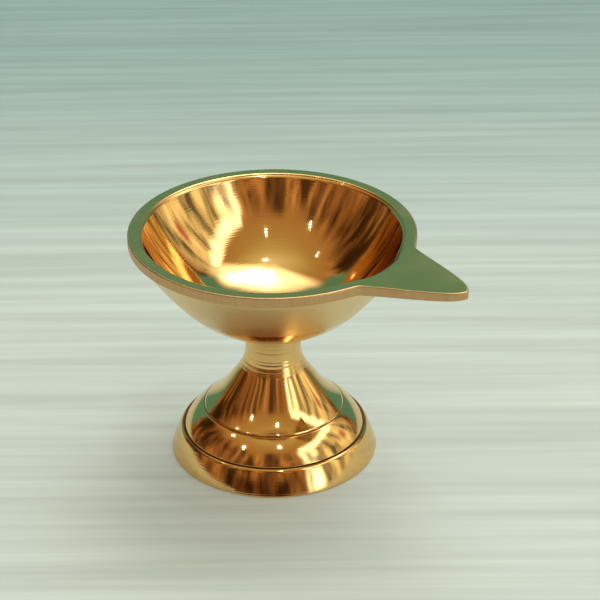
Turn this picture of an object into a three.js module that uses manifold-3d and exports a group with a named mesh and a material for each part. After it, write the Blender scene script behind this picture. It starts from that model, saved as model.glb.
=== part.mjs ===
// A small brass oil lamp (diya): a spouted bowl clamped on a hollow flared pedestal.
// Millimetres, +Z up. The origin is under the middle of the whole outline, on the standing plane,
// so the lamp's own axis stands at x = AXIS_X and the spout points along +X.
import * as THREE from 'three';
import { mergeVertices } from 'three/addons/utils/BufferGeometryUtils.js';
import Module from 'manifold-3d';

// ---- driving dimensions ----
const RIM_R = 26; // outside of the rim
const RIM_TOP = 44.9; // height of the rim above the table
const RIM_THICK = 1.9; // height of the rim's edge band
const MOUTH_R = 23.8; // inside of the rim, where the flat top ends
const EDGE = 0.25; // chamfer on turned edges
const SPOUT_TIP = 41; // tip of the spout, from the lamp's axis
const SPOUT_TIP_R = 1.5; // rounding of the tip
const SPOUT_ROOT_HALF = 9.3; // half width of the spout where it leaves the rim
const SPOUT_ROOT_X = 24.35; // the same place, along the spout
const SPOUT_SLOPE = 0.51; // how much half width is lost per millimetre of length
const SPOUT_FILLET = 1; // run of the small hollow fillet along the spout's edge
const SPOUT_FILLET_BACK = 0.35; // where that fillet starts on the rim, back from the root
const SPOUT_FILLET_OUT = 0.6; // and out from it
const SPOUT_BURIED = 0.4; // how far the root's corners lie inside the rim's metal

const SEAT_Z = 25.8; // underside of the bowl, where it sits on the neck
const SEAT_R = 5.7; // edge of that seat
const WALL_R = 24.8; // outside of the bowl's wall where it meets the rim
const COVE = 0.6; // hollow fillet between the wall and the rim's underside
// Section of the bowl's outside, from the seat up, and of its inside, from the middle of the floor up:
// radius reached and steepness there, as tangent arcs.
const OUTSIDE_START_STEEP = 8;
const BOWL_OUTSIDE = [
  { r: 8, steep: 18, steps: 2 },
  { r: 18, steep: 50.5, steps: 5 },
  { r: WALL_R, steep: 60, steps: 3 },
];
const BOWL_INSIDE = [
  { r: 9, steep: 14, steps: 3 },
  { r: 15, steep: 42, steps: 5 },
  { r: MOUTH_R - EDGE, steep: 64, steps: 5 },
];

const JOINT_GAP = 0.1; // paper-thin gap between faces that touch
const NECK_TOP_Z = SEAT_Z - JOINT_GAP;
const NECK_TOP_R = 5.45;
const NECK_WAIST_R = 5.14;
const NECK_WAIST_Z = 21.3;
// Section of the flare: height reached and lean from the vertical there, as tangent arcs.
const FLARE = [
  { z: 17, lean: 34, steps: 3 },
  { z: 13, lean: 37, steps: 3 },
  { z: 9.3, lean: 52, steps: 3 },
];
const CREASE_DEPTH = 0.12; // fine turned line between flare and dome
// Section of the dome band and of the foot's shoulder: radius reached and steepness there, as arcs.
const DOME = { startSteep: 36, r: 16.8, steep: 62, steps: 5 };
const GROOVE_WIDTH = 0.35; // the dark line above the foot
const GROOVE_DEPTH = 0.4;
const SHOULDER = { startSteep: 30, r: 17.65, steep: 66, steps: 2 };
const FOOT_R = 19.26;
const FOOT_BOW = 0.09; // how far the foot band bulges out of a straight line
const FOOT_STEPS = 4;
// The hollow under the pedestal, from the web down to the standing edge.
const WEB_Z = 15.5;
const HOLLOW = [
  [5.7, WEB_Z],
  [7.6, 12.5],
  [11, 8.3],
  [14.9, 4.8],
  [16.4, 2.3],
  [17, 0],
];

const STUD_R = 2.45; // M5 thread
const STUD_TOP = 27.8;
const STUD_END = 6.5;
const STUD_CHAMFER = 0.5;
const STUD_HOLE_TOP = 27.95; // blind hole in the bowl's thick floor
const STUD_HOLE_R = 2.55;
const THROUGH_HOLE_R = 2.75; // clearance hole in the neck
const WASHER_R = 5;
const WASHER_HOLE_R = 2.65;
const WASHER_THICK = 1;
const NUT_FLATS = 8; // across the flats
const NUT_HOLE_R = 2.55;
const NUT_THICK = 4;

const ROUND = 48; // sides of the big turned pieces
const SMALL_ROUND = 32; // sides of the small ones
const AXIS_X = (RIM_R - SPOUT_TIP) / 2; // puts the origin under the middle of the outline

const rad = THREE.MathUtils.degToRad;

// ---- sections ----
// An arc that starts at [r, z] and gets steeper: from startSteep to steep, reaching radius r1.
// drop = -1 makes it fall as it goes out, +1 makes it rise.
function arcByRadius([r0, z0], startSteep, r1, steep, drop, steps) {
  const bend = (r1 - r0) / (Math.sin(rad(steep)) - Math.sin(rad(startSteep)));
  const points = [];
  for (let i = 1; i <= steps; i += 1) {
    const angle = rad(startSteep + ((steep - startSteep) * i) / steps);
    const out = bend * (Math.sin(angle) - Math.sin(rad(startSteep)));
    const along = bend * (Math.cos(rad(startSteep)) - Math.cos(angle));
    points.push([r0 + out, z0 + drop * along]);
  }
  return points;
}

// An arc that goes down from [r, z] and leans out: from startLean to lean, reaching height z1.
function arcByHeight([r0, z0], startLean, z1, lean, steps) {
  const bend = (z0 - z1) / (Math.sin(rad(lean)) - Math.sin(rad(startLean)));
  const points = [];
  for (let i = 1; i <= steps; i += 1) {
    const angle = rad(startLean + ((lean - startLean) * i) / steps);
    const down = bend * (Math.sin(angle) - Math.sin(rad(startLean)));
    const out = bend * (Math.cos(rad(startLean)) - Math.cos(angle));
    points.push([r0 + out, z0 - down]);
  }
  return points;
}

function last(points) {
  return points[points.length - 1];
}

// A section turned about the Z axis. The section runs anticlockwise in the r-z plane.
function turned(section, sides) {
  const points = section.map(([r, z]) => new THREE.Vector2(r, z));
  const geometry = new THREE.LatheGeometry(points, sides);
  geometry.rotateX(Math.PI / 2);
  return geometry;
}

// ---- solids that are joined ----
const wasm = await Module();
wasm.setup();

function toSolid(geometry) {
  const bare = geometry.clone();
  bare.deleteAttribute('normal');
  bare.deleteAttribute('uv');
  const merged = mergeVertices(bare, 1e-5);
  const vertProperties = new Float32Array(merged.attributes.position.array);
  const triVerts = new Uint32Array(merged.index.array);
  const mesh = new wasm.Mesh({ numProp: 3, vertProperties, triVerts });
  mesh.merge();
  return new wasm.Manifold(mesh);
}

function toGeometry(solid) {
  const mesh = solid.getMesh();
  const geometry = new THREE.BufferGeometry();
  geometry.setAttribute('position', new THREE.BufferAttribute(mesh.vertProperties, 3));
  geometry.setIndex(new THREE.BufferAttribute(mesh.triVerts, 1));
  geometry.computeVertexNormals();
  return geometry;
}

// ---- the bowl and its spout ----
// Follows a list of arcs that climb outwards from [r, z].
function climb(start, startSteep, arcs) {
  let points = [start];
  let steep = startSteep;
  for (const arc of arcs) {
    points = points.concat(arcByRadius(last(points), steep, arc.r, arc.steep, 1, arc.steps));
    steep = arc.steep;
  }
  return points;
}

function bowlSection() {
  const rimLow = RIM_TOP - RIM_THICK;
  const hole = [
    [0, STUD_HOLE_TOP],
    [STUD_HOLE_R, STUD_HOLE_TOP],
    [STUD_HOLE_R, SEAT_Z],
  ];
  const outside = climb([SEAT_R, SEAT_Z], OUTSIDE_START_STEEP, BOWL_OUTSIDE);
  outside[outside.length - 1] = [WALL_R, rimLow - COVE / 2];
  const rim = [
    [WALL_R + COVE, rimLow],
    [RIM_R - EDGE, rimLow],
    [RIM_R, rimLow + EDGE],
    [RIM_R, RIM_TOP - EDGE],
    [RIM_R - EDGE, RIM_TOP],
    [MOUTH_R + EDGE, RIM_TOP],
  ];
  const inside = climb([0, 0], 0, BOWL_INSIDE);
  const floorZ = RIM_TOP - EDGE - last(inside)[1];
  const raised = inside.map(([r, z]) => [r, z + floorZ]);
  return [...hole, ...outside, ...rim, ...raised.reverse()];
}

// The spout seen from above: straight tapering edges, a small hollow fillet at each side of the root,
// and a round tip.
function spoutOutline() {
  const filletStart = SPOUT_ROOT_X - SPOUT_FILLET_BACK;
  const filletHalf = SPOUT_ROOT_HALF + SPOUT_FILLET_OUT;
  const buriedHalf = SPOUT_ROOT_HALF - SPOUT_BURIED;
  const rootEnd = SPOUT_ROOT_X + SPOUT_FILLET;
  const tipStart = SPOUT_TIP - SPOUT_TIP_R;
  const halfAt = (x) => SPOUT_ROOT_HALF - SPOUT_SLOPE * (x - SPOUT_ROOT_X);
  const shape = new THREE.Shape();
  shape.moveTo(SPOUT_ROOT_X, -buriedHalf);
  shape.lineTo(filletStart, -filletHalf);
  shape.quadraticCurveTo(SPOUT_ROOT_X, -SPOUT_ROOT_HALF, rootEnd, -halfAt(rootEnd));
  shape.lineTo(tipStart, -halfAt(tipStart));
  shape.quadraticCurveTo(SPOUT_TIP, -halfAt(SPOUT_TIP), SPOUT_TIP, 0);
  shape.quadraticCurveTo(SPOUT_TIP, halfAt(SPOUT_TIP), tipStart, halfAt(tipStart));
  shape.lineTo(rootEnd, halfAt(rootEnd));
  shape.quadraticCurveTo(SPOUT_ROOT_X, SPOUT_ROOT_HALF, filletStart, filletHalf);
  shape.lineTo(SPOUT_ROOT_X, buriedHalf);
  shape.closePath();
  return shape;
}

function bowlGeometry() {
  const spout = new THREE.ExtrudeGeometry(spoutOutline(), {
    depth: RIM_THICK,
    curveSegments: 5,
    bevelEnabled: false,
  });
  spout.translate(0, 0, RIM_TOP - RIM_THICK);
  const body = toSolid(turned(bowlSection(), ROUND));
  return toGeometry(body.add(toSolid(spout)));
}

// ---- the pedestal ----
// From one point to another, bulging out of the straight line by bow in the middle.
function bowed([r0, z0], [r1, z1], bow, steps) {
  const length = Math.hypot(r1 - r0, z1 - z0);
  const points = [];
  for (let i = 1; i <= steps; i += 1) {
    const t = i / steps;
    const bulge = (4 * t * (1 - t) * bow) / length;
    points.push([r0 + (r1 - r0) * t + (z0 - z1) * bulge, z0 + (z1 - z0) * t + (r1 - r0) * bulge]);
  }
  return points;
}

// Follows a list of arcs that go down and lean out from [r, z].
function flareOut(start, arcs) {
  let points = [start];
  let lean = 0;
  for (const arc of arcs) {
    points = points.concat(arcByHeight(last(points), lean, arc.z, arc.lean, arc.steps));
    lean = arc.lean;
  }
  return points;
}

function pedestalSection() {
  const neck = [
    [NECK_TOP_R - EDGE, NECK_TOP_Z],
    [NECK_TOP_R, NECK_TOP_Z - EDGE],
    [NECK_WAIST_R + (NECK_TOP_R - NECK_WAIST_R) / 4, (NECK_TOP_Z + NECK_WAIST_Z) / 2],
  ];
  const flare = flareOut([NECK_WAIST_R, NECK_WAIST_Z], FLARE);
  const [creaseR, creaseZ] = last(flare);
  const crease = [[creaseR + CREASE_DEPTH / 2, creaseZ - CREASE_DEPTH]];
  const dome = arcByRadius(crease[0], DOME.startSteep, DOME.r, DOME.steep, -1, DOME.steps);
  const [lipR, lipZ] = last(dome);
  const groove = [
    [lipR - GROOVE_DEPTH / 2, lipZ - GROOVE_WIDTH],
    [lipR + GROOVE_WIDTH, lipZ],
  ];
  const { startSteep, r, steep, steps } = SHOULDER;
  const shoulder = arcByRadius(last(groove), startSteep, r, steep, -1, steps);
  const footBand = bowed(last(shoulder), [FOOT_R, EDGE], FOOT_BOW, FOOT_STEPS);
  const under = [
    [FOOT_R - EDGE, 0],
    ...HOLLOW.slice().reverse(),
    [THROUGH_HOLE_R, WEB_Z],
    [THROUGH_HOLE_R, NECK_TOP_Z],
  ];
  const outside = [...neck, ...flare, ...crease, ...dome, ...groove, ...shoulder, ...footBand];
  const section = [...outside, ...under];
  return [...section, section[0]].reverse();
}

// ---- the fixing: stud, washer and nut ----
function studSection() {
  return [
    [0, STUD_END],
    [STUD_R - STUD_CHAMFER, STUD_END],
    [STUD_R, STUD_END + STUD_CHAMFER],
    [STUD_R, STUD_TOP - STUD_CHAMFER],
    [STUD_R - STUD_CHAMFER, STUD_TOP],
    [0, STUD_TOP],
  ];
}

function washerSection() {
  const top = WEB_Z - JOINT_GAP;
  const low = top - WASHER_THICK;
  return [
    [WASHER_HOLE_R, low],
    [WASHER_R, low],
    [WASHER_R, top],
    [WASHER_HOLE_R, top],
    [WASHER_HOLE_R, low],
  ];
}

function nutGeometry() {
  const corner = NUT_FLATS / 2 / Math.cos(Math.PI / 6);
  const shape = new THREE.Shape();
  for (let i = 0; i < 6; i += 1) {
    const angle = (i * Math.PI) / 3;
    const x = corner * Math.cos(angle);
    const y = corner * Math.sin(angle);
    if (i === 0) shape.moveTo(x, y);
    else shape.lineTo(x, y);
  }
  shape.closePath();
  const hole = new THREE.Path();
  hole.absarc(0, 0, NUT_HOLE_R, 0, 2 * Math.PI, true);
  shape.holes.push(hole);
  const geometry = new THREE.ExtrudeGeometry(shape, {
    depth: NUT_THICK,
    curveSegments: SMALL_ROUND,
    bevelEnabled: false,
  });
  const nutTop = WEB_Z - JOINT_GAP - WASHER_THICK - JOINT_GAP;
  geometry.translate(0, 0, nutTop - NUT_THICK);
  return geometry;
}

// ---- materials ----
function metal(color, roughness) {
  return new THREE.MeshStandardMaterial({ color, roughness, metalness: 1 });
}
const polishedBrass = () => metal(0xd9a441, 0.12);
const zincSteel = () => metal(0xb9bcc0, 0.35);

function piece(name, geometry, material) {
  const mesh = new THREE.Mesh(geometry, material);
  mesh.name = name;
  return mesh;
}

// ---- the lamp ----
const lamp = new THREE.Group();
lamp.position.x = AXIS_X;

const bowlGroup = new THREE.Group();
bowlGroup.add(piece('oil_bowl', bowlGeometry(), polishedBrass()));
bowlGroup.add(piece('clamping_stud', turned(studSection(), SMALL_ROUND), zincSteel()));

const fixing = new THREE.Group();
fixing.add(piece('washer', turned(washerSection(), SMALL_ROUND), zincSteel()));
fixing.add(piece('clamp_nut', nutGeometry(), zincSteel()));

lamp.add(piece('pedestal', turned(pedestalSection(), ROUND), polishedBrass()));
lamp.add(bowlGroup);
lamp.add(fixing);

const model = new THREE.Group();
model.add(lamp);

export default model;
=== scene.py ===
# %% [markdown]
# # A small brass oil lamp
#
# The lamp is two brass turnings, a bowl with a spout for the wick and a hollow flared pedestal, held
# together by a threaded stud, a washer and a nut. Its shape could be sculpted, or revolved with a Screw
# modifier. Here every piece is worked out with numpy as a grid of points: a section carried round the
# lamp's axis. A lathe cuts metal in the same way, and the sizes stay readable numbers.

import math

import bpy
import numpy as np
from mathutils import Euler, Matrix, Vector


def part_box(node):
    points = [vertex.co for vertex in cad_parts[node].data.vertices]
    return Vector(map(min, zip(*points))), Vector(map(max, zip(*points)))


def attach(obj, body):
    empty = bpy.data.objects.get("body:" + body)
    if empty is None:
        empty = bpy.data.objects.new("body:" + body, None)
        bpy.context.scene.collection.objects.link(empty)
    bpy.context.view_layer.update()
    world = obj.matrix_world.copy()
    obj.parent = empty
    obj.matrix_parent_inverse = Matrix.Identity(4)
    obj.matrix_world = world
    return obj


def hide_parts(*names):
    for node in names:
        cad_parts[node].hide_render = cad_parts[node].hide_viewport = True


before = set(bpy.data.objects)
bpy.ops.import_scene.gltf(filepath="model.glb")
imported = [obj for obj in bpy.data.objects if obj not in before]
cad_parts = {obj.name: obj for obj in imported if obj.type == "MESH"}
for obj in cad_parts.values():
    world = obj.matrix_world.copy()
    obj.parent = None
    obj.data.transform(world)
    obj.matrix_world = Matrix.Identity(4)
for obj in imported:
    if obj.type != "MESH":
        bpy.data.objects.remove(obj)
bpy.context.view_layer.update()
bowl_low, bowl_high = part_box("oil_bowl")
foot_low, foot_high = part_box("pedestal")

# %% [markdown]
# The driving sizes come from the frame. The pedestal is round, so the middle of its box is the lamp's
# axis. The bowl's box gives the rim's radius, from its width across Y, and the tip of the spout, from
# its reach along X. Lengths below are in millimetres on the axis, because that is how a turner reads a
# drawing.

# %% The lamp's axis and main sizes
MM = 0.001
AXIS_X = (foot_low.x + foot_high.x) / 2
RIM_R = (bowl_high.y - bowl_low.y) / 2 / MM
SPOUT_TIP = (bowl_high.x - AXIS_X) / MM
RIM_TOP = bowl_high.z / MM
SEAT_Z = bowl_low.z / MM
FOOT_R = (foot_high.y - foot_low.y) / 2 / MM
NECK_TOP = foot_high.z / MM
print(f"axis x {AXIS_X:.4f} m, rim r {RIM_R:.2f}, spout {SPOUT_TIP:.2f}, foot r {FOOT_R:.2f} mm")

# %% [markdown]
# ## Sections
#
# A turned section is a chain of arcs that run smoothly into each other. It could be a spline through
# many points, but a spline wobbles, and a mirror finish shows each wobble. An arc needs only where it
# ends and how steep the metal is there.


# %% Arcs and eased corners
def arc_by_radius(start, steep_from, r_end, steep_to, side, steps):
    """An arc from (r, z) out to r_end, turning evenly between two steepnesses, in degrees from level.
    With angle a, r grows as sin a and z as -cos a, times one bend radius. side +1 climbs, -1 falls."""
    a = np.radians(np.linspace(steep_from, steep_to, steps + 1)[1:])
    first = math.radians(steep_from)
    bend = (r_end - start[0]) / (math.sin(math.radians(steep_to)) - math.sin(first))
    r = start[0] + bend * (np.sin(a) - math.sin(first))
    z = start[1] + side * bend * (math.cos(first) - np.cos(a))
    return np.column_stack([r, z])


def arc_by_height(start, lean_from, z_end, lean_to, steps):
    """An arc from (r, z) down to z_end, turning evenly between two leans, in degrees from upright.
    With angle a, z falls as sin a and r grows as -cos a, both times the same bend radius."""
    a = np.radians(np.linspace(lean_from, lean_to, steps + 1)[1:])
    first = math.radians(lean_from)
    bend = (start[1] - z_end) / (math.sin(math.radians(lean_to)) - math.sin(first))
    r = start[0] + bend * (math.cos(first) - np.cos(a))
    z = start[1] - bend * (np.sin(a) - math.sin(first))
    return np.column_stack([r, z])


def chain(arc, start, turned, legs, *side):
    """Arcs run into each other: each leg gives its end, the angle it has turned to, and its steps."""
    points = [np.array([start], float)]
    for end, turned_to, steps in legs:
        points.append(arc(points[-1][-1], turned, end, turned_to, *side, steps))
        turned = turned_to
    return np.vstack(points[1:])


def eased(before, corner, after, cut, steps=5):
    """A corner rounded over: a parabola that leaves one side and meets the other at the distance cut.
    The points are the corner, weighted with the two ends as (1-t)^2, 2t(1-t) and t^2."""
    before, corner, after = (np.array(p, float) for p in (before, corner, after))
    a = corner + cut * (before - corner) / np.linalg.norm(before - corner)
    b = corner + cut * (after - corner) / np.linalg.norm(after - corner)
    t = np.linspace(0, 1, steps + 1)[:, None]
    return (1 - t) ** 2 * a + 2 * t * (1 - t) * corner + t**2 * b


def spread(steps):
    """Shares from 0 to 1, the first left out, closer together near both ends: (1 - cos) / 2."""
    return (1 - np.cos(np.linspace(0, math.pi, steps + 1)[1:])) / 2


def full_turn(steps):
    """Even angles once round, the last left out."""
    return np.linspace(0, 2 * math.pi, steps, endpoint=False)


def quarter_turn(steps):
    """Even angles from 0 to a right angle, the first left out."""
    return np.linspace(0, math.pi / 2, steps + 1)[1:]


def line(a, b, steps):
    """Points on a straight line after a and up to b. The small faces lie beside the rounded corners."""
    return np.array(a, float) + spread(steps)[:, None] * (np.array(b, float) - np.array(a, float))


print("an eased corner:", eased((0, 0), (1, 0), (1, 1), 0.2, 2).round(3).tolist())

# %% [markdown]
# A closed grid becomes a mesh in one go. Rows run along the section and columns run round the axis. The
# first and last rows are poles on the axis, or the section's two ends meet and the last row joins the
# first. Each row of faces carries the number of its finish, so one turning can have a mirror inside and
# a filed edge.


# %% From a grid of points to a mesh
def grid_object(name, points, finish_of_row, materials, closed):
    """A mesh from an array of rows x columns x 3, in millimetres from the lamp's axis.
    A closed section joins its last row to its first. An open one has a pole of triangles at each end."""
    rows, columns = points.shape[:2]
    index = np.arange(rows * columns).reshape(rows, columns)
    if closed:
        index = np.vstack([index, index[:1]])
    beside = np.roll(index, -1, axis=1)
    quads = np.stack([index[:-1], beside[:-1], beside[1:], index[1:]], axis=-1).reshape(-1, 4)
    finish = np.repeat(finish_of_row[: len(index) - 1], columns)
    flat = points.reshape(-1, 3)
    if not closed:
        ends = np.array([flat[index[0]].mean(0), flat[index[-1]].mean(0)])
        flat = np.vstack([flat, ends])
        foot = np.column_stack([np.full(columns, rows * columns), beside[0], index[0]])
        cap = np.column_stack([np.full(columns, rows * columns + 1), index[-1], beside[-1]])
        fans = np.vstack([foot, cap])
        finish = np.concatenate([finish, np.repeat(finish_of_row[[0, -1]], columns)])
    faces = quads.tolist() + ([] if closed else fans.tolist())
    mesh = bpy.data.meshes.new(name)
    mesh.from_pydata((flat * MM + [AXIS_X, 0, 0]).tolist(), [], faces)
    mesh.polygons.foreach_set("use_smooth", np.ones(len(faces), bool))
    for material in materials:
        mesh.materials.append(material)
    mesh.polygons.foreach_set("material_index", finish.astype(np.int32))
    mesh.update()
    piece = bpy.data.objects.new(name, mesh)
    bpy.context.scene.collection.objects.link(piece)
    print(f"{name}: {len(mesh.vertices)} points, {len(faces)} faces")
    return piece


def around(r, z, angle):
    """Points of a section carried round the axis: x = r cos a, y = r sin a, z."""
    r, z, angle = np.broadcast_arrays(r, z, angle)
    return np.stack([r * np.cos(angle), r * np.sin(angle), z], axis=-1)


# %% [markdown]
# ## Finishes
#
# Brass is a metal, so it has no colour of its own beyond the tint that it gives to what it reflects.
# What makes it look real is how its surface was worked: the tool leaves fine rings, the buffing wheel
# leaves soft waves, and air and fingers leave a brown bloom that polish never reaches. Each of these is
# a shader node group, built once, and every finish places them with its own values.


# %% Helpers for node trees
def group_socket(group, name, direction, kind="NodeSocketFloat"):
    """One named input or output of a node group."""
    return group.interface.new_socket(name=name, in_out=direction, socket_type=kind)


def add(tree, kind, inputs=None, **settings):
    """One node with its settings and inputs. A number sets a socket, and a node's output is linked."""
    node = tree.nodes.new(kind)
    for key, value in settings.items():
        setattr(node, key, value)
    for key, value in (inputs or {}).items():
        if isinstance(value, bpy.types.NodeSocket):
            tree.links.new(value, node.inputs[key])
        else:
            node.inputs[key].default_value = value
    return node


def math_node(tree, operation, *values, clamp=False):
    """The output of a Math node over numbers or other nodes' outputs."""
    inputs = dict(enumerate(values))
    return add(tree, "ShaderNodeMath", inputs, operation=operation, use_clamp=clamp).outputs[0]


def from_axis(tree, vector):
    """The x, y and z of a place measured from the lamp's axis, and its distance from it."""
    x, y, z = add(tree, "ShaderNodeSeparateXYZ", {0: vector}).outputs
    squares = math_node(tree, "ADD", math_node(tree, "MULTIPLY", x, x), math_node(tree, "MULTIPLY", y, y))
    return x, y, z, math_node(tree, "SQRT", squares)


def mixed(tree, mask, first, second):
    """A colour that goes from the first to the second as the mask goes from 0 to 1."""
    mix = add(tree, "ShaderNodeMix", {0: mask, 6: first, 7: second}, data_type="RGBA")
    return mix.outputs[2]


def along(tree, vector, way):
    """How far a place lies along a way, the dot product of the two."""
    return add(tree, "ShaderNodeVectorMath", {0: vector, 1: way}, operation="DOT_PRODUCT").outputs["Value"]


def flat_noise(tree, across, up, detail, roughness=0.5):
    """Two-dimensional noise at a place given by two outputs."""
    place = add(tree, "ShaderNodeCombineXYZ", {0: across, 1: up}).outputs[0]
    inputs = {"Vector": place, "Scale": 1.0, "Detail": detail, "Roughness": roughness}
    return add(tree, "ShaderNodeTexNoise", inputs, noise_dimensions="2D").outputs[0]


# %% [markdown]
# Tool rings are the same all the way round, so their pattern may depend only on the distance from the
# axis and the height. Noise in one dimension, read along the section, gives lines that differ in depth,
# as a real tool's do. A wave texture would give lines that are all alike. Climb says whether the section
# rises or falls outwards.


# %% Node group: turning rings
def turning_rings():
    """Height of the tool's rings: one-dimensional noise of (radius + climb * height) / pitch."""
    group = bpy.data.node_groups.new("Turning rings", "ShaderNodeTree")
    group_socket(group, "Vector", "INPUT", "NodeSocketVector")
    group_socket(group, "Pitch mm", "INPUT")
    group_socket(group, "Climb", "INPUT")
    group_socket(group, "Height", "OUTPUT")
    start = add(group, "NodeGroupInput")
    x, y, z, radius = from_axis(group, start.outputs["Vector"])
    climbed = math_node(group, "ADD", radius, math_node(group, "MULTIPLY", z, start.outputs["Climb"]))
    pitches = math_node(group, "DIVIDE", climbed, start.outputs["Pitch mm"])
    noise = {"W": math_node(group, "MULTIPLY", pitches, 1 / MM), "Scale": 1.0, "Detail": 2.0}
    rings = add(group, "ShaderNodeTexNoise", noise, noise_dimensions="1D")
    end = add(group, "NodeGroupOutput")
    group.links.new(rings.outputs[0], end.inputs["Height"])
    return group


RINGS = turning_rings()
print("built:", RINGS.name)

# %% [markdown]
# Buffing by hand leaves a surface that is nearly true, with slow waves a few millimetres across. They
# are what makes a reflection in old brass bend and break up. Handling leaves smudges, which only change
# the roughness.


# %% Node group: buffing waves and smudges
SMUDGE_FROM, SMUDGE_TO = 0.42, 0.68


def buffing():
    """Slow waves as a height, and smudges as a mask, from noise in space at the two sizes given."""
    group = bpy.data.node_groups.new("Buffing", "ShaderNodeTree")
    group_socket(group, "Vector", "INPUT", "NodeSocketVector")
    group_socket(group, "Wave mm", "INPUT")
    group_socket(group, "Smudge mm", "INPUT")
    group_socket(group, "Waves", "OUTPUT")
    group_socket(group, "Smudge", "OUTPUT")
    start = add(group, "NodeGroupInput")
    wave_scale = math_node(group, "DIVIDE", 1 / MM, start.outputs["Wave mm"])
    smudge_scale = math_node(group, "DIVIDE", 1 / MM, start.outputs["Smudge mm"])
    vector = start.outputs["Vector"]
    waves = add(group, "ShaderNodeTexNoise", {"Vector": vector, "Scale": wave_scale, "Detail": 1.0})
    smudge = add(group, "ShaderNodeTexNoise", {"Vector": vector, "Scale": smudge_scale, "Detail": 4.0})
    limits = {"Value": smudge.outputs[0], "From Min": SMUDGE_FROM, "From Max": SMUDGE_TO}
    mask = add(group, "ShaderNodeMapRange", limits, interpolation_type="SMOOTHSTEP")
    end = add(group, "NodeGroupOutput")
    group.links.new(waves.outputs[0], end.inputs["Waves"])
    group.links.new(mask.outputs[0], end.inputs["Smudge"])
    return group


BUFFING = buffing()
print("built:", BUFFING.name)

# %% [markdown]
# Brass darkens where the cloth doesn't reach. The bloom starts as pale specks that join into brown
# patches, so it is noise pushed through a soft threshold. The amount decides how much of the surface it
# covers.


# %% Node group: brown bloom
SPECKS_PER_PATCH = 6.0
SPECK_SHARE = 0.4
BLOOM_NONE, BLOOM_FALL = 1.2, 0.7
BLOOM_SHARPNESS = 3.0


def brown_bloom():
    """Mask of the bloom: noise at two sizes, added, then cut by a soft threshold.
    The threshold falls as the amount grows."""
    group = bpy.data.node_groups.new("Brown bloom", "ShaderNodeTree")
    group_socket(group, "Vector", "INPUT", "NodeSocketVector")
    group_socket(group, "Patch mm", "INPUT")
    group_socket(group, "Amount", "INPUT")
    group_socket(group, "Mask", "OUTPUT")
    start = add(group, "NodeGroupInput")
    scale = math_node(group, "DIVIDE", 1 / MM, start.outputs["Patch mm"])
    fine_scale = math_node(group, "MULTIPLY", scale, SPECKS_PER_PATCH)
    vector = start.outputs["Vector"]
    patches = add(group, "ShaderNodeTexNoise", {"Vector": vector, "Scale": scale, "Detail": 3.0})
    specks = add(group, "ShaderNodeTexNoise", {"Vector": vector, "Scale": fine_scale, "Detail": 3.0})
    both = math_node(group, "MULTIPLY_ADD", specks.outputs[0], SPECK_SHARE, patches.outputs[0])
    fall = math_node(group, "MULTIPLY", start.outputs["Amount"], BLOOM_FALL)
    limit = math_node(group, "SUBTRACT", BLOOM_NONE, fall)
    over = math_node(group, "SUBTRACT", both, limit)
    mask = math_node(group, "MULTIPLY_ADD", over, BLOOM_SHARPNESS, 0.5, clamp=True)
    end = add(group, "NodeGroupOutput")
    group.links.new(mask, end.inputs["Mask"])
    return group


BLOOM = brown_bloom()
print("built:", BLOOM.name)

# %% [markdown]
# A file is pushed across an edge, from face to face, so its strokes stand upright all round the rim. The
# pattern needs the distance along the edge, which is the angle times the radius. Noise that is squeezed
# along the edge and stretched upwards turns into strokes.


# %% Node group: file strokes
STROKE_STRETCH = 10


def file_strokes():
    """Strokes across an edge: flat noise of (angle * radius / stroke, height / stretched stroke)."""
    group = bpy.data.node_groups.new("File strokes", "ShaderNodeTree")
    group_socket(group, "Vector", "INPUT", "NodeSocketVector")
    group_socket(group, "Stroke mm", "INPUT")
    group_socket(group, "Strokes", "OUTPUT")
    start = add(group, "NodeGroupInput")
    x, y, z, radius = from_axis(group, start.outputs["Vector"])
    around_rim = math_node(group, "MULTIPLY", math_node(group, "ARCTAN2", y, x), radius)
    squeezed = math_node(group, "MULTIPLY", z, 1 / STROKE_STRETCH)
    flat = add(group, "ShaderNodeCombineXYZ", {0: around_rim, 1: squeezed})
    scale = math_node(group, "DIVIDE", 1 / MM, start.outputs["Stroke mm"])
    noise = {"Vector": flat.outputs[0], "Scale": scale, "Detail": 3.0}
    strokes = add(group, "ShaderNodeTexNoise", noise, noise_dimensions="2D")
    end = add(group, "NodeGroupOutput")
    group.links.new(strokes.outputs[0], end.inputs["Strokes"])
    return group


STROKES = file_strokes()
print("built:", STROKES.name)

# %% [markdown]
# A finish is now a handful of numbers: the clean colour, the colour of the bloom, how rough each is, and
# how deep the rings, waves and strokes are. Bump is kept very low, because a mirror shows a slope of a
# hundredth at once.

# %% Brass finishes
CLEAN_BRASS = (0.83, 0.53, 0.21, 1)
PALE_BRASS = (0.83, 0.60, 0.29, 1)
DULL_BRASS = (0.64, 0.40, 0.19, 1)
BROWN_BRASS = (0.34, 0.165, 0.06, 1)
# A near-black colour for the groove and the crease: painted shade in the narrow recesses.
GROOVE_PAINTED_SHADE = (0.05, 0.028, 0.012, 1)
WAVE_MM, SMUDGE_MM, PATCH_MM, STROKE_MM = 8.0, 9.0, 7.0, 0.6
STROKE_CONTRAST, STROKE_SHADE = 2.0, 0.82
SMUDGE_ROUGHNESS, BLOOM_ROUGHNESS = 0.05, 0.15
FINE_HEIGHT = 0.1 * MM
OUTWARDS_UP, OUTWARDS_DOWN = 1.0, -1.0


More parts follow.
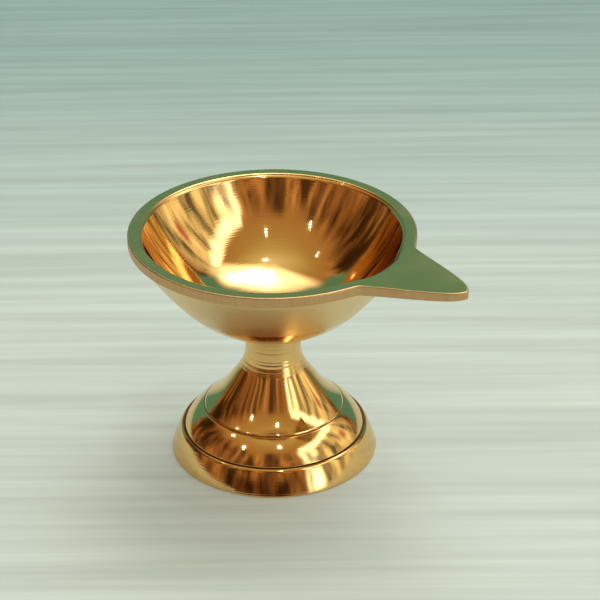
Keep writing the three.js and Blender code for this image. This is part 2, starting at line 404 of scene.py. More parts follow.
def brass(name, rough, rings, waves, bloom, climb=OUTWARDS_UP, pitch=0.3, color=CLEAN_BRASS, strokes=0.0):
    """A brass finish. rings, waves and strokes are bump strengths; bloom is the share gone brown."""
    material = bpy.data.materials.new(name)
    material.use_nodes = True
    tree = material.node_tree
    shader = tree.nodes["Principled BSDF"]
    shader.inputs["Metallic"].default_value = 1.0
    where = add(tree, "ShaderNodeTexCoord").outputs["Object"]
    place = add(tree, "ShaderNodeMapping", {"Vector": where, "Location": (-AXIS_X, 0, 0)}).outputs[0]
    ring = add(tree, "ShaderNodeGroup", node_tree=RINGS)
    hand = add(tree, "ShaderNodeGroup", node_tree=BUFFING)
    dull = add(tree, "ShaderNodeGroup", node_tree=BLOOM)
    filed = add(tree, "ShaderNodeGroup", node_tree=STROKES)
    for node in (ring, hand, dull, filed):
        tree.links.new(place, node.inputs["Vector"])
    ring.inputs["Pitch mm"].default_value = pitch
    ring.inputs["Climb"].default_value = climb
    hand.inputs["Wave mm"].default_value = WAVE_MM
    hand.inputs["Smudge mm"].default_value = SMUDGE_MM
    dull.inputs["Patch mm"].default_value = PATCH_MM
    dull.inputs["Amount"].default_value = bloom
    filed.inputs["Stroke mm"].default_value = STROKE_MM
    contrast = STROKE_CONTRAST * min(strokes, 1)
    stroke_mask = math_node(tree, "MULTIPLY_ADD", filed.outputs[0], contrast, 0.0, clamp=True)
    shaded = [STROKE_SHADE * part for part in color[:3]] + [1]
    worked = mixed(tree, stroke_mask, color, shaded)
    bloomed = mixed(tree, dull.outputs["Mask"], worked, BROWN_BRASS)
    tree.links.new(bloomed, shader.inputs["Base Color"])
    smudged = math_node(tree, "MULTIPLY_ADD", hand.outputs["Smudge"], SMUDGE_ROUGHNESS, rough)
    roughness = math_node(tree, "MULTIPLY_ADD", dull.outputs["Mask"], BLOOM_ROUGHNESS, smudged, clamp=True)
    tree.links.new(roughness, shader.inputs["Roughness"])
    normal = None
    layers = [(hand.outputs["Waves"], waves, MM), (ring.outputs["Height"], rings, FINE_HEIGHT)]
    layers.append((filed.outputs["Strokes"], strokes, FINE_HEIGHT))
    for height, strength, depth in layers:
        if strength:
            bump = add(tree, "ShaderNodeBump", {"Height": height, "Strength": strength, "Distance": depth})
            if normal:
                tree.links.new(normal, bump.inputs["Normal"])
            normal = bump.outputs[0]
    tree.links.new(normal, shader.inputs["Normal"])
    print("finish:", name)
    return material


MIRROR = brass("brass_mirror_inside", rough=0.035, rings=0.06, waves=0.03, bloom=0.05, pitch=0.4)
RIM_FACE = brass("brass_rim_face", rough=0.17, rings=0.1, waves=0.08, bloom=0.1)
FILED_EDGE = brass("brass_filed_edge", 0.36, rings=0.0, waves=0.1, bloom=0.2, color=DULL_BRASS, strokes=0.5)
OUTSIDE = brass("brass_bowl_outside", rough=0.3, rings=0.15, waves=0.1, bloom=0.08, color=PALE_BRASS)
UNDERSIDE = brass("brass_underside", rough=0.12, rings=0.15, waves=0.1, bloom=0.25)
# Under the rim: dull brass with heavy bloom, partly tarnish where the cloth doesn't reach, partly painted
# shade under the rim's overhang.
COVE_SHADE_AND_BLOOM = brass("brass_cove_shade_and_bloom", rough=0.38, rings=0.2, waves=0.1, bloom=0.75, color=DULL_BRASS)
BUFFED = brass("brass_pedestal", rough=0.05, rings=0.06, waves=0.1, bloom=0.08, climb=OUTWARDS_DOWN)
NECK = brass("brass_neck", rough=0.13, rings=1.0, waves=0.1, bloom=0.2, climb=OUTWARDS_DOWN, pitch=0.6)
# The groove's finish is painted shade: near-black brass, nearly all of it gone to brown bloom.
GROOVE_SHADE_AND_BLOOM = brass("brass_groove_shade_and_bloom", rough=0.6, rings=0.0, waves=0.1, bloom=1.5, color=GROOVE_PAINTED_SHADE)
CAST = brass("brass_as_cast", rough=0.45, rings=0.0, waves=1.0, bloom=0.6, color=DULL_BRASS)

# %% [markdown]
# ## The bowl and its spout
#
# The bowl is cast with its spout, turned inside and out, and the spout's edges are filed by hand. It
# could be two meshes joined by a Boolean, which leaves ragged faces where they meet. Instead, the rim's
# outline as seen from above is one formula of the angle: a circle that swells into the spout.

# %% The rim's outline
SPOUT_ROOT_HALF = 9.0
SPOUT_ROOT_X = 24.35
SPOUT_SLOPE = 0.47
SPOUT_BULGE = 0.45
BULGE_PEAK = 4 / 27
ROOT_FILLET = 0.55
TIP_ROUND = 2.0
ROUND_STEPS = 400
FINE_ANGLES = 20001
SPOUT_SECTOR = math.pi / 3
LEAST_COSINE = 0.2


def soft_max(a, b, width):
    """The larger of two values, the crossing rounded: their mean plus half a hyperbola of their gap."""
    return (a + b + np.sqrt((a - b) ** 2 + width**2)) / 2


def outline_radius(angle):
    """Distance of the rim's edge from the axis. The spout's edge is the line half = root - slope * run,
    which in polar form is c / (sin a + slope cos a), and c swells a little two thirds of the way along,
    as the square of the share times the rest. The tip is a straight cut across. Corners are rounded."""
    a = np.abs(angle)
    ahead = np.clip(np.cos(a), LEAST_COSINE, 1)
    steepness = np.sin(a) + SPOUT_SLOPE * ahead
    straight = SPOUT_ROOT_HALF + SPOUT_SLOPE * SPOUT_ROOT_X
    share = np.clip((straight / steepness * ahead - SPOUT_ROOT_X) / (SPOUT_TIP - SPOUT_ROOT_X), 0, 1)
    edge = (straight + SPOUT_BULGE * share**2 * (1 - share) / BULGE_PEAK) / steepness
    tip = SPOUT_TIP / ahead
    spout = -soft_max(-edge, -tip, TIP_ROUND)
    spout = np.where(a < SPOUT_SECTOR, spout, 0)
    radius = soft_max(np.full_like(a, RIM_R), spout, ROOT_FILLET)
    return radius - soft_max(RIM_R, 0 * a, ROOT_FILLET) + RIM_R


def even_angles(count):
    """Angles that cut the outline into equal lengths, so that the spout's mesh is as fine as the rim's."""
    a = np.linspace(-math.pi, math.pi, FINE_ANGLES)
    r = outline_radius(a)
    steps = np.hypot(np.diff(r * np.cos(a)), np.diff(r * np.sin(a)))
    length = np.concatenate([[0], np.cumsum(steps)])
    return np.interp(np.arange(count) / count * length[-1], length, a)


bowl_angles = even_angles(ROUND_STEPS)
bowl_outline = outline_radius(bowl_angles)
longest = bowl_outline.max()
bowl_outline *= 1 + (SPOUT_TIP / longest - 1) * (bowl_outline - RIM_R) / (longest - RIM_R)
print(f"outline from {bowl_outline.min():.2f} to {bowl_outline.max():.2f} mm")

# %% [markdown]
# The section has a part that is the same all round, from the stud's hole up the outside to the rim, and
# a part that the spout stretches: the underside, the edge band and the flat top. The stretched part is
# given as shares of the way out, so one formula fits the plain rim and the long spout. Near the spout
# the mouth's edge is filed to a softer rounding, so that oil and wick run over it, and the spout thins a
# little towards its tip.

# %% The bowl's section
RIM_THICK = 1.9
SPOUT_TIP_THICK = 1.55
MOUTH_R = 23.8
WALL_R = 24.8
SEAT_R = 5.7
COVE = 0.6
STUD_HOLE_R = 2.55
STUD_HOLE_TOP = 27.95
LIP_R = 23.55
UNDERSIDE_R = 17.5
POLE_R = 0.3
SEAT_STEEP = 8
OUTSIDE_ARCS = [(8, 18, 6), (18, 50.5, 26), (WALL_R, 60, 16)]
INSIDE_ARCS = [(9, 14, 14), (15, 42, 20), (LIP_R, 64, 30)]
LIP_ROUND, SPOUT_LIP_ROUND = 0.3, 1.5
SPOUT_LIP_ANGLE = math.radians(17)
LIP_FADE = 8
EDGE_ROUND = 0.22
UP = 1


def outside_wall():
    """The bowl's outside from the stud's hole to the cove under the rim, as (r, z) points.
    The last arc is stretched in height, so that it meets the cove exactly."""
    hole_top, hole_low = (STUD_HOLE_R, STUD_HOLE_TOP), (STUD_HOLE_R, SEAT_Z)
    hole = [line((POLE_R, STUD_HOLE_TOP), hole_top, 3), line(hole_top, hole_low, 4)]
    seat = line(hole_low, (SEAT_R, SEAT_Z), 4)
    curve = chain(arc_by_radius, (SEAT_R, SEAT_Z), SEAT_STEEP, OUTSIDE_ARCS, UP)
    below, wall = np.split(curve, [-OUTSIDE_ARCS[-1][-1]])
    ends = [wall[0, 1], RIM_TOP - RIM_THICK - COVE]
    wall = np.column_stack([wall[:, 0], np.interp(wall[:, 1], wall[[0, -1], 1], ends)])
    return np.vstack(hole + [seat, below, wall])


def inside_wall(lip_z):
    """The bowl's inside from the middle of the floor to the mouth: three arcs, lifted to meet the lip."""
    curve = chain(arc_by_radius, (0, 0), 0, INSIDE_ARCS, UP)
    return curve + [0, lip_z - curve[-1, 1]]


outer = outside_wall()
inner = inside_wall(RIM_TOP - LIP_ROUND)
print(f"floor of the bowl at z {inner[0, 1]:.2f} mm, wall meets the rim at z {outer[-1, 1]:.2f} mm")


# %% The bowl's grid
def bowl_grid():
    """Rows of (r, z) at every angle: the plain outside, the stretched rim and spout, the plain inside."""
    away = np.clip((bowl_outline - RIM_R) / (SPOUT_TIP - RIM_R), 0, 1)
    near_spout = np.exp(-((bowl_angles / SPOUT_LIP_ANGLE) ** 4))
    lip = LIP_ROUND + SPOUT_LIP_ROUND * near_spout
    under = RIM_TOP - RIM_THICK
    thinning = RIM_THICK - SPOUT_TIP_THICK
    low = under + thinning * away
    reach = bowl_outline - EDGE_ROUND
    cove_r = WALL_R + COVE
    mouth = MOUTH_R + lip
    rows, finish = [], []

    def row(r, z, kind):
        rows.append(around(r, z, bowl_angles))
        finish.append(BOWL_FINISHES.index(kind))

    for r, z in outer:
        row(r, z, UNDERSIDE if r < UNDERSIDE_R else OUTSIDE)
    # The cove and the underside of the rim and spout carry painted shade as well as tarnish.
    for t in quarter_turn(6):
        row(WALL_R + COVE * (1 - math.cos(t)), under - COVE * (1 - math.sin(t)), COVE_SHADE_AND_BLOOM)
    for t in spread(14):
        r = cove_r + (reach - cove_r) * t
        row(r, under + thinning * np.clip((r - RIM_R) / (SPOUT_TIP - RIM_R), 0, 1), COVE_SHADE_AND_BLOOM)
    for t in quarter_turn(5):
        row(reach + EDGE_ROUND * math.sin(t), low + EDGE_ROUND * (1 - math.cos(t)), FILED_EDGE)
    for t in np.linspace(0, 1, 5)[1:]:
        row(bowl_outline, low + EDGE_ROUND + (RIM_TOP - low - 2 * EDGE_ROUND) * t, FILED_EDGE)
    for t in quarter_turn(5):
        row(reach + EDGE_ROUND * math.cos(t), RIM_TOP - EDGE_ROUND * (1 - math.sin(t)), FILED_EDGE)
    for t in spread(16):
        row(reach + (mouth - reach) * t, RIM_TOP, RIM_FACE)
    for t in quarter_turn(8):
        row(mouth - lip * math.sin(t), RIM_TOP - lip * (1 - math.cos(t)), RIM_FACE)
    for r, z in inner[::-1]:
        row(r, z - (r / LIP_R) ** LIP_FADE * (lip - LIP_ROUND), MIRROR)
    return np.array(rows), np.array(finish)


BOWL_FINISHES = [MIRROR, FILED_EDGE, OUTSIDE, RIM_FACE, COVE_SHADE_AND_BLOOM, UNDERSIDE]
bowl_points, bowl_finish = bowl_grid()
bowl = grid_object("bowl_and_spout", bowl_points, bowl_finish, BOWL_FINISHES, closed=False)
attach(bowl, "bowl")
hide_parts("oil_bowl")

# %% [markdown]
# ## The pedestal
#
# The pedestal is a second casting, hollow underneath, turned outside only. Its neck spreads in a long
# flare, a fine line marks where the flare becomes a dome, and a deep groove parts the dome from the foot
# band; both are painted near-black as shade. All of it is one section: the outside from the neck down,
# then the rough hollow back up to the stud's hole.

# %% The pedestal's section
NECK_TOP_R = 5.45
WAIST_R = 5.14
WAIST_Z = 21.3
THROUGH_R = 2.75
WEB_Z = 15.5
NICK_ANGLE = math.radians(-80)
NICK_DEPTH = 0.5
NICK_HALF = 0.35
NECK_ROWS = 12
NECK_EDGE, FOOT_EDGE = 0.2, 0.25
FLARE_ARCS = [(17, 34, 14), (13, 37, 10), (9.3, 52, 14)]
CREASE = np.array([[0.01, -0.08], [0.03, -0.15], [0.17, -0.17]])
DOME_STEEP, DOME_ARC = 36, (16.8, 62, 22)
GROOVE_CUT = np.array([[-0.06, -0.06], [-0.2, -0.3], [-0.1, -0.36], [0.28, -0.08], [0.36, 0]])
SHOULDER_STEEP, SHOULDER_ARC = 30, (17.65, 66, 8)
BAND_BOW = 0.09
HOLLOW = [(17, 0), (16.4, 2.3), (14.9, 4.8), (11, 8.3), (7.6, 12.5), (5.7, 15.5)]
DOWN = -1
PEDESTAL_FINISHES = [BUFFED, CAST, NECK, GROOVE_SHADE_AND_BLOOM]


def pedestal_section():
    """(r, z) points all the way round the cut metal, with the number of each one's finish.
    The neck narrows as a parabola, and the foot band bows out as a parabola between its ends."""
    top = eased((THROUGH_R, NECK_TOP), (NECK_TOP_R, NECK_TOP), (NECK_TOP_R, 0), NECK_EDGE)
    t = np.linspace(0, 1, 7)[1:]
    neck_z = NECK_TOP - NECK_EDGE + (WAIST_Z - NECK_TOP + NECK_EDGE) * t
    neck = np.column_stack([WAIST_R + (NECK_TOP_R - WAIST_R) * (1 - t) ** 2, neck_z])
    flare = chain(arc_by_height, (WAIST_R, WAIST_Z), 0, FLARE_ARCS)
    crease = flare[-1] + CREASE
    dome = chain(arc_by_radius, crease[-1], DOME_STEEP, [DOME_ARC], DOWN)
    groove = dome[-1] + GROOVE_CUT
    shoulder = chain(arc_by_radius, groove[-1], SHOULDER_STEEP, [SHOULDER_ARC], DOWN)
    band = line(shoulder[-1], (FOOT_R, FOOT_EDGE), 10)
    share = (band[:, 1] - shoulder[-1, 1]) / (FOOT_EDGE - shoulder[-1, 1])
    band[:, 0] += 4 * BAND_BOW * share * (1 - share)
    base = eased(shoulder[-1], (FOOT_R, 0), (FOOT_R - 1, 0), FOOT_EDGE)
    under = line((FOOT_R - FOOT_EDGE, 0), HOLLOW[0], 4)
    deep = np.vstack([line(a, b, 5) for a, b in zip(HOLLOW, HOLLOW[1:])])
    hole_low, hole_top = (THROUGH_R, WEB_Z), (THROUGH_R, NECK_TOP)
    web = np.vstack([line(HOLLOW[-1], hole_low, 4), line(hole_low, hole_top, 10)])
    runs = [(top, NECK), (neck, NECK), (flare[:NECK_ROWS], NECK), (flare[NECK_ROWS:], BUFFED)]
    # The crease and the groove carry the painted shade finish.
    runs += [(crease, GROOVE_SHADE_AND_BLOOM), (dome, BUFFED), (groove, GROOVE_SHADE_AND_BLOOM), (shoulder, BUFFED), (band, BUFFED)]
    runs += [(base, BUFFED), (under, CAST), (deep, CAST), (web, CAST)]
    finish = np.concatenate([np.full(len(run), PEDESTAL_FINISHES.index(kind)) for run, kind in runs])
    return np.vstack([run for run, kind in runs]), finish


foot_section, foot_finish = pedestal_section()
foot_angles = full_turn(288)
foot_points = around(foot_section[:, :1], foot_section[:, 1:], foot_angles[None, :])
from_nick = (foot_angles - NICK_ANGLE + math.pi) % (2 * math.pi) - math.pi
nick_depth = NICK_DEPTH * np.exp(-((from_nick * FOOT_R / NICK_HALF) ** 2))
nick_share = np.exp(-((foot_section[:, 1:] / NICK_HALF) ** 2)) * (foot_section[:, :1] > FOOT_R - 1)
foot_points[..., :2] *= (1 - nick_share * nick_depth[None, :] / FOOT_R)[..., None]
turned_over = foot_points[::-1], foot_finish[::-1]
pedestal = grid_object("flared_pedestal", *turned_over, PEDESTAL_FINISHES, closed=True)
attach(pedestal, "pedestal")
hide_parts("pedestal")

# %% [markdown]
# ## Stud, washer and nut
#
# The fixing hides in the hollow foot. A screw thread could be made with a Screw modifier. As a grid it
# is a round bar whose radius depends on height minus turn: at each angle the teeth are shifted up by
# that part of the pitch. The nut is a hexagon cut by a cone at both faces, which leaves the curved
# chamfers of a real nut.

# %% Zinc-plated steel
BLUE_ZINC = (0.62, 0.64, 0.66, 1)
YELLOW_ZINC = (0.58, 0.55, 0.44, 1)
ZINC_HAND = {"Wave mm": 1.5, "Smudge mm": 2.5}
ZINC_ROUGH, ZINC_SMUDGE = 0.28, 0.15
GRAINS_PER_M = 4000.0
GRAIN_BUMP, GRAIN_DEPTH = 0.3, 0.05 * MM


def zinc():
    """Zinc plate: blue-white metal with fine grains, a little yellow in patches, and handling marks."""
    material = bpy.data.materials.new("zinc_plate")
    material.use_nodes = True
    tree = material.node_tree
    shader = tree.nodes["Principled BSDF"]
    shader.inputs["Metallic"].default_value = 1.0
    place = add(tree, "ShaderNodeTexCoord").outputs["Object"]
    hand = add(tree, "ShaderNodeGroup", {"Vector": place, **ZINC_HAND}, node_tree=BUFFING)
    smudge = hand.outputs["Smudge"]
    tree.links.new(mixed(tree, smudge, BLUE_ZINC, YELLOW_ZINC), shader.inputs["Base Color"])
    roughness = math_node(tree, "MULTIPLY_ADD", smudge, ZINC_SMUDGE, ZINC_ROUGH)
    tree.links.new(roughness, shader.inputs["Roughness"])
    grains = add(tree, "ShaderNodeTexNoise", {"Vector": place, "Scale": GRAINS_PER_M, "Detail": 2.0})
    relief = {"Height": grains.outputs[0], "Strength": GRAIN_BUMP, "Distance": GRAIN_DEPTH}
    tree.links.new(add(tree, "ShaderNodeBump", relief).outputs[0], shader.inputs["Normal"])
    return material


def zinc_object(name, points, closed):
    """A fixing from its grid of points, zinc all over."""
    return grid_object(name, points, np.zeros(len(points), int), [ZINC], closed)


ZINC = zinc()
print("finish:", ZINC.name)

# %% The threaded stud
PITCH = 0.8
THREAD_DEPTH = 0.49
CAP_RADII = np.array([[0.3], [1.2]])
STUD_ROWS = 270


def tooth(height, angle):
    """Height of the thread's tooth, 0 at the root and 1 at the crest.
    It is a triangle wave of height minus turn, with its top and bottom clipped flat."""
    phase = (height / PITCH - angle / (2 * math.pi)) % 1
    return np.clip(1.5 - np.abs(phase - 0.5) * 4, 0, 1)


stud_low, stud_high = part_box("clamping_stud")
stud_r = (stud_high.y - stud_low.y) / 2 / MM
stud_z = np.linspace(stud_low.z / MM, stud_high.z / MM, STUD_ROWS)[:, None]
stud_angles = full_turn(64)[None, :]
from_end = np.minimum(stud_z - stud_z[0], stud_z[-1] - stud_z)
thread_r = stud_r - THREAD_DEPTH * (1 - tooth(stud_z, stud_angles))
thread_r = np.minimum(thread_r, stud_r - THREAD_DEPTH + from_end)
low_cap = around(CAP_RADII, stud_z[0], stud_angles)
high_cap = around(CAP_RADII[::-1], stud_z[-1], stud_angles)
stud_points = np.concatenate([low_cap, around(thread_r, stud_z, stud_angles), high_cap])
stud = zinc_object("threaded_stud", stud_points, closed=False)
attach(stud, "bowl")
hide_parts("clamping_stud")

# %% [markdown]
# A plain washer is punched from sheet. The punch pulls the metal over on the side that it enters, so two
# of its edges are rounder than the other two.

# %% The washer
WASHER_HOLE_R = 2.65
PUNCHED, SHEARED = (0.3, 0.25), (0.08, 0.1)
washer_low, washer_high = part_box("washer")
washer_r = (washer_high.y - washer_low.y) / 2 / MM
low_z, high_z = washer_low.z / MM, washer_high.z / MM
corners = [(WASHER_HOLE_R, low_z), (washer_r, low_z), (washer_r, high_z), (WASHER_HOLE_R, high_z)]
neighbours = zip(corners[-1:] + corners, corners, corners[1:] + corners[:1], SHEARED + PUNCHED)
washer_section = np.vstack([eased(*corner_and_cut) for corner_and_cut in neighbours])
washer_points = around(washer_section[:, :1], washer_section[:, 1:], full_turn(96))
washer = zinc_object("plain_washer", washer_points, closed=True)
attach(washer, "washer")
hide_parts("washer")

# %% [markdown]
# The nut's corners are cut back to a cone that starts just inside the flats, at thirty degrees from the
# face. The bore is a tube with the stud's teeth cut into it, and it opens wider at both faces.

# %% The nut
NUT_BORE_R = 2.52
NUT_THREAD_DEPTH = 0.35
CONE_START = 0.96
CONE_SLOPE = math.sqrt(3)
BORE_CHAMFER = 0.25
FACE_RADII = np.array([[3.6], [3.3], [3.0]])
FLAT = math.pi / 3
nut_low, nut_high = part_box("clamp_nut")
half_flats = (nut_high.y - nut_low.y) / 2 / MM
nut_bottom, nut_top = nut_low.z / MM, nut_high.z / MM
nut_angles = full_turn(144)[None, :]
hexagon = half_flats / np.cos(nut_angles % FLAT - FLAT / 2)
side_z = nut_bottom + (nut_top - nut_bottom) * np.concatenate([[0], spread(30)])[:, None]
to_face = np.minimum(side_z - nut_bottom, nut_top - side_z)
cone = CONE_START * half_flats + to_face * CONE_SLOPE
sides = around(np.minimum(hexagon, cone), side_z, nut_angles)
bore_z = np.linspace(nut_top - BORE_CHAMFER, nut_bottom + BORE_CHAMFER, 48)[:, None]
bore = around(NUT_BORE_R + NUT_THREAD_DEPTH * (1 - tooth(bore_z, nut_angles)), bore_z, nut_angles)
top_face = around(FACE_RADII, nut_top, nut_angles)
low_face = around(FACE_RADII[::-1], nut_bottom, nut_angles)
nut = zinc_object("hexagon_nut", np.concatenate([sides, top_face, bore, low_face]), closed=True)
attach(nut, "nut")
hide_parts("clamp_nut")

# %% [markdown]
# ## Camera
#
# The camera looks down on the lamp by about thirty degrees, through a long lens, so that the rim's
# ellipse stays true. It could be turned with a Track To constraint. Its angles are written out instead,
# because the light is placed by the same angles. A small roll levels the lamp, and the lens shift moves
# the picture without turning it.

# %% The camera
AZIMUTH = math.radians(36)
ELEVATION = math.radians(29.454)
DISTANCE = 0.4
AIM_Z = 0.022
ROLL = math.radians(0.595)
FOCAL_LENGTH, SENSOR_WIDTH = 129.97, 36
LENS_SHIFT = 0.0446, 0.0685
TOWARD = np.array([math.sin(AZIMUTH), -math.cos(AZIMUTH), 0])
RIGHT = np.array([math.cos(AZIMUTH), math.sin(AZIMUTH), 0])
back = TOWARD * math.cos(ELEVATION) + np.array([0, 0, math.sin(ELEVATION)])
lens = bpy.data.cameras.new("camera")
lens.lens = FOCAL_LENGTH
lens.sensor_width = SENSOR_WIDTH
lens.shift_x, lens.shift_y = LENS_SHIFT
camera = bpy.data.objects.new("camera", lens)
camera.location = np.array([AXIS_X, 0, AIM_Z]) + DISTANCE * back
turn = Euler((math.pi / 2 - ELEVATION, 0, AZIMUTH)).to_matrix() @ Matrix.Rotation(-ROLL, 3, "Z")
camera.rotation_euler = turn.to_euler()
bpy.context.scene.collection.objects.link(camera)
bpy.context.scene.camera = camera
print("camera at", [round(v, 4) for v in camera.location])

# %% [markdown]
# ## The table
#
# A pale painted table. It reaches far past the view, because the lamp's underside and foot mirror the
# table right up to its far edge. Brush marks run across the view: noise that is stretched along the
# board. It gets darker and greener away from the camera. A faint glow stands for light that comes from
# outside the panels below.

# %% The table
TABLE_HALF = 2.0
TABLE_NEAR = (0.46, 0.53, 0.51, 1)
TABLE_FAR = (0.22, 0.33, 0.315, 1)
FADE_FROM, FADE_TO = 0.02, 0.24
STREAK_LENGTH, STREAK_WIDTH = 0.1, 0.003
STREAK_CONTRAST, STREAK_BASE = 0.4, 0.8
TABLE_GLOW, TABLE_ROUGH, TABLE_SHINE = 0.3, 0.6, 0.2
table_mesh = bpy.data.meshes.new("table")
table_corners = [(x * TABLE_HALF, y * TABLE_HALF, 0) for x, y in ((-1, -1), (1, -1), (1, 1), (-1, 1))]
table_mesh.from_pydata(table_corners, [], [(0, 1, 2, 3)])
table_paint = bpy.data.materials.new("pale_table")
table_paint.use_nodes = True
paint = table_paint.node_tree
table_shader = paint.nodes["Principled BSDF"]
spot = add(paint, "ShaderNodeTexCoord").outputs["Object"]
away = along(paint, spot, -TOWARD)
long_way = math_node(paint, "DIVIDE", along(paint, spot, RIGHT), STREAK_LENGTH)
short_way = math_node(paint, "DIVIDE", away, STREAK_WIDTH)
streaks = flat_noise(paint, long_way, short_way, detail=2.0)
distance = {"Value": away, "From Min": FADE_FROM, "From Max": FADE_TO}
fade = add(paint, "ShaderNodeMapRange", distance, interpolation_type="SMOOTHSTEP")
board = mixed(paint, fade.outputs[0], TABLE_NEAR, TABLE_FAR)
brush = math_node(paint, "MULTIPLY_ADD", streaks, STREAK_CONTRAST, STREAK_BASE)
brushed = add(paint, "ShaderNodeVectorMath", {0: board, "Scale": brush}, operation="SCALE").outputs[0]
paint.links.new(brushed, table_shader.inputs["Base Color"])
paint.links.new(brushed, table_shader.inputs["Emission Color"])
table_shader.inputs["Emission Strength"].default_value = TABLE_GLOW
table_shader.inputs["Roughness"].default_value = TABLE_ROUGH
table_shader.inputs["Specular IOR Level"].default_value = TABLE_SHINE
table_mesh.materials.append(table_paint)
table = bpy.data.objects.new("table", table_mesh)
bpy.context.scene.collection.objects.link(table)
print("table:", 2 * TABLE_HALF, "m square")

# %% [markdown]
# ## Light
#
# A mirror shows the room more than it shows itself, so polished metal is lit with large soft panels and
# dark cards, and each is placed where its reflection is wanted. They could be planes with an emitting
# material. Here they are painted on the world, as soft rectangles given by their direction: degrees to
# the right of the camera and degrees above the table. The brass then reflects them, and the table is lit
# by them.


# %% Node group: a soft panel
def soft_panel():
    """Mask of a rectangle on the sky: one where both angles lie inside the half sizes, with soft edges.
    The fade is a smooth step of (half size - distance) / softness, and the two fades are multiplied."""
    group = bpy.data.node_groups.new("Soft panel", "ShaderNodeTree")
    for name in ("Side", "Rise", "Panel side", "Panel rise", "Half width", "Half height", "Softness"):
        group_socket(group, name, "INPUT")
    group_socket(group, "Mask", "OUTPUT")
    start = add(group, "NodeGroupInput")
    offset = math_node(group, "SUBTRACT", start.outputs["Side"], start.outputs["Panel side"])
    turned = math_node(group, "WRAP", offset, -180.0, 180.0)
    across = math_node(group, "ABSOLUTE", turned)
    climb = math_node(group, "SUBTRACT", start.outputs["Rise"], start.outputs["Panel rise"])
    upward = math_node(group, "ABSOLUTE", climb)
    fades = []
    for half, distance in (("Half width", across), ("Half height", upward)):
        inside = math_node(group, "SUBTRACT", start.outputs[half], distance)
        low = math_node(group, "MULTIPLY", start.outputs["Softness"], -1.0)
        limits = {"Value": inside, "From Min": low, "From Max": start.outputs["Softness"]}
        fade = add(group, "ShaderNodeMapRange", limits, interpolation_type="SMOOTHSTEP")
        fades.append(fade.outputs[0])
    end = add(group, "NodeGroupOutput")
    group.links.new(math_node(group, "MULTIPLY", *fades), end.inputs["Mask"])
    return group


PANEL = soft_panel()
print("built:", PANEL.name)

# %% [markdown]
# The room round the lamp, from the table up: dim warm walls, a warm ceiling that gets brighter overhead,
# a tall window with a pale wall to the right, a broad white source behind and above, foliage behind, and
# dark things in front and to the left. Later panels cover earlier ones.

# %% The room as soft panels
SKY = [
    (-90, (0.30, 0.25, 0.17)),
    (0, (0.26, 0.13, 0.05)),
    (20, (0.40, 0.20, 0.08)),
    (45, (0.44, 0.245, 0.10)),
    (60, (0.50, 0.355, 0.145)),
    (75, (0.70, 0.62, 0.36)),
    (90, (0.90, 0.90, 0.68)),
]
# Each panel: side, rise, half width, half height and softness in degrees, and colour times strength.
WALLS = {
    "dim_left": (-92, 28, 34, 12, 6, (0.21, 0.10, 0.04)),
    "dark_front": (-6, 26, 7, 22, 4, (0.12, 0.06, 0.028)),
    "dark_left_edge": (-48, 22, 4, 26, 3, (0.14, 0.07, 0.03)),
    "pale_right": (84, 12, 38, 34, 7, (0.80, 0.72, 0.47)),
    "low_front": (-14, 4, 30, 8, 3, (0.12, 0.05, 0.022)),
    "red_cloth": (106, 22, 3, 5, 3, (0.40, 0.12, 0.09)),
    "window": (47, 20, 10, 24, 4, (2.8, 2.8, 2.6)),
    "window_top": (76, 45, 36, 4, 2.5, (3.0, 3.0, 2.8)),
}
BEHIND = {
    "white_glow": (158, 62, 50, 17, 13, (2.3, 2.3, 2.1)),
    "white_core": (157, 63, 26, 12, 7, (6.5, 6.5, 6.3)),
    "foliage": (180, 19, 49, 24, 4, (0.115, 0.32, 0.28)),
}
world = bpy.data.worlds.new("studio")
world.use_nodes = True
bpy.context.scene.world = world
sky = world.node_tree
direction = add(sky, "ShaderNodeTexCoord").outputs["Generated"]
height = add(sky, "ShaderNodeSeparateXYZ", {0: direction}).outputs[2]
turned = math_node(sky, "ARCTAN2", along(sky, direction, RIGHT), along(sky, direction, TOWARD))
side = math_node(sky, "DEGREES", turned)
rise = math_node(sky, "DEGREES", math_node(sky, "ARCSINE", height))
gradient = add(sky, "ShaderNodeValToRGB", {0: math_node(sky, "MULTIPLY_ADD", rise, 1 / 180, 0.5)})
steps = gradient.color_ramp.elements
for angle, color in SKY[1:-1]:
    steps.new(angle / 180 + 0.5)
for step, (angle, color) in zip(steps, SKY):
    step.position = angle / 180 + 0.5
    step.color = (*color, 1)


def hang_panels(light, panels):
    """Lays each panel's colour over the light so far, where its mask is one."""
    for panel_side, panel_rise, half_width, half_height, softness, color in panels.values():
        panel = add(sky, "ShaderNodeGroup", node_tree=PANEL)
        places = {"Panel side": panel_side, "Panel rise": panel_rise, "Half width": half_width}
        places.update({"Half height": half_height, "Softness": softness})
        for key, value in places.items():
            panel.inputs[key].default_value = value
        sky.links.new(side, panel.inputs["Side"])
        sky.links.new(rise, panel.inputs["Rise"])
        light = mixed(sky, panel.outputs[0], light, (*color, 1))
    return light


# %% [markdown]
# Walls are never even: curtains, shelves and door frames stand upright in them. Noise that is taller
# than it is wide gives the same broken upright bars in the brass. The bars fade out where the wall meets
# the plain ceiling.

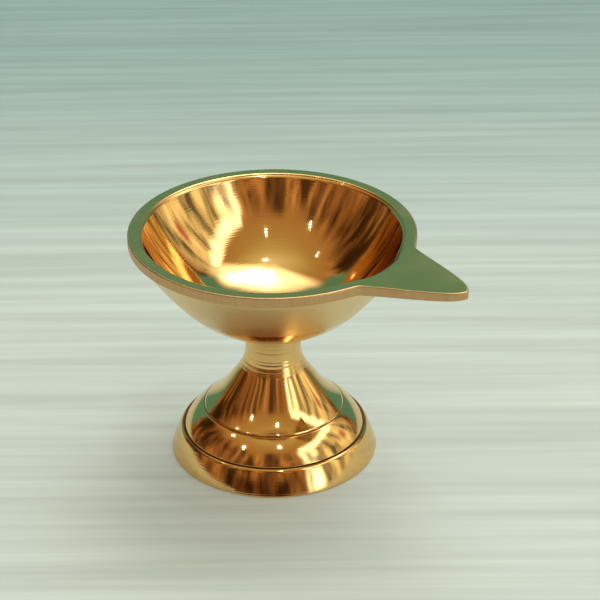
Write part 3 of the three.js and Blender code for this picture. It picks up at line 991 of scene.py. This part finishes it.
# %% Upright bars on the walls
BAR_WIDTH, BAR_HEIGHT = 14, 38
BAR_CONTRAST = {"From Min": 0.38, "From Max": 0.66, "To Min": 0.2, "To Max": 1.7}
BARS_END, CEILING_FROM = 34, 52
bars_across = math_node(sky, "DIVIDE", side, BAR_WIDTH)
bars_up = math_node(sky, "DIVIDE", rise, BAR_HEIGHT)
bars = flat_noise(sky, bars_across, bars_up, detail=5.0, roughness=0.65)
uneven = add(sky, "ShaderNodeMapRange", {"Value": bars, **BAR_CONTRAST})
up_wall = {"Value": rise, "From Min": BARS_END, "From Max": CEILING_FROM}
on_ceiling = add(sky, "ShaderNodeMapRange", up_wall, interpolation_type="SMOOTHSTEP").outputs[0]
bars_only = add(sky, "ShaderNodeMix", {0: on_ceiling, 2: uneven.outputs[0], 3: 1.0}).outputs[0]
walls = hang_panels(gradient.outputs[0], WALLS)
broken = add(sky, "ShaderNodeVectorMath", {0: walls, "Scale": bars_only}, operation="SCALE").outputs[0]
light = hang_panels(broken, BEHIND)
sky.links.new(light, sky.nodes["Background"].inputs[0])
print("panels:", ", ".join([*WALLS, *BEHIND]))

# %% [markdown]
# Four small round lamps in the ceiling give the sparkling points that say polished metal. Each is an
# area light, so it also lights the table and throws a faint shadow.

# %% Four ceiling lamps
CEILING = 2.2
LAMP_WIDTH, LAMP_POWER = 0.03, 2.0
CEILING_LAMPS = [(0.10, 0.58), (-0.70, 0.55), (0.09, 0.06), (-0.75, 0.05)]
for number, (right, toward) in enumerate(CEILING_LAMPS):
    lamp = bpy.data.lights.new(f"ceiling_lamp_{number}", "AREA")
    lamp.shape = "DISK"
    lamp.size = LAMP_WIDTH
    lamp.energy = LAMP_POWER
    holder = bpy.data.objects.new(lamp.name, lamp)
    holder.location = CEILING * (right * RIGHT + toward * TOWARD + np.array([0, 0, 1]))
    bpy.context.scene.collection.objects.link(holder)
print("ceiling lamps:", len(CEILING_LAMPS))

# %% [markdown]
# The picture is shown as it falls on a plain sensor, without a film curve, so that the panels' colours
# above can be read straight off the metal.

# %% How the picture is shown
bpy.context.scene.view_settings.view_transform = "Standard"
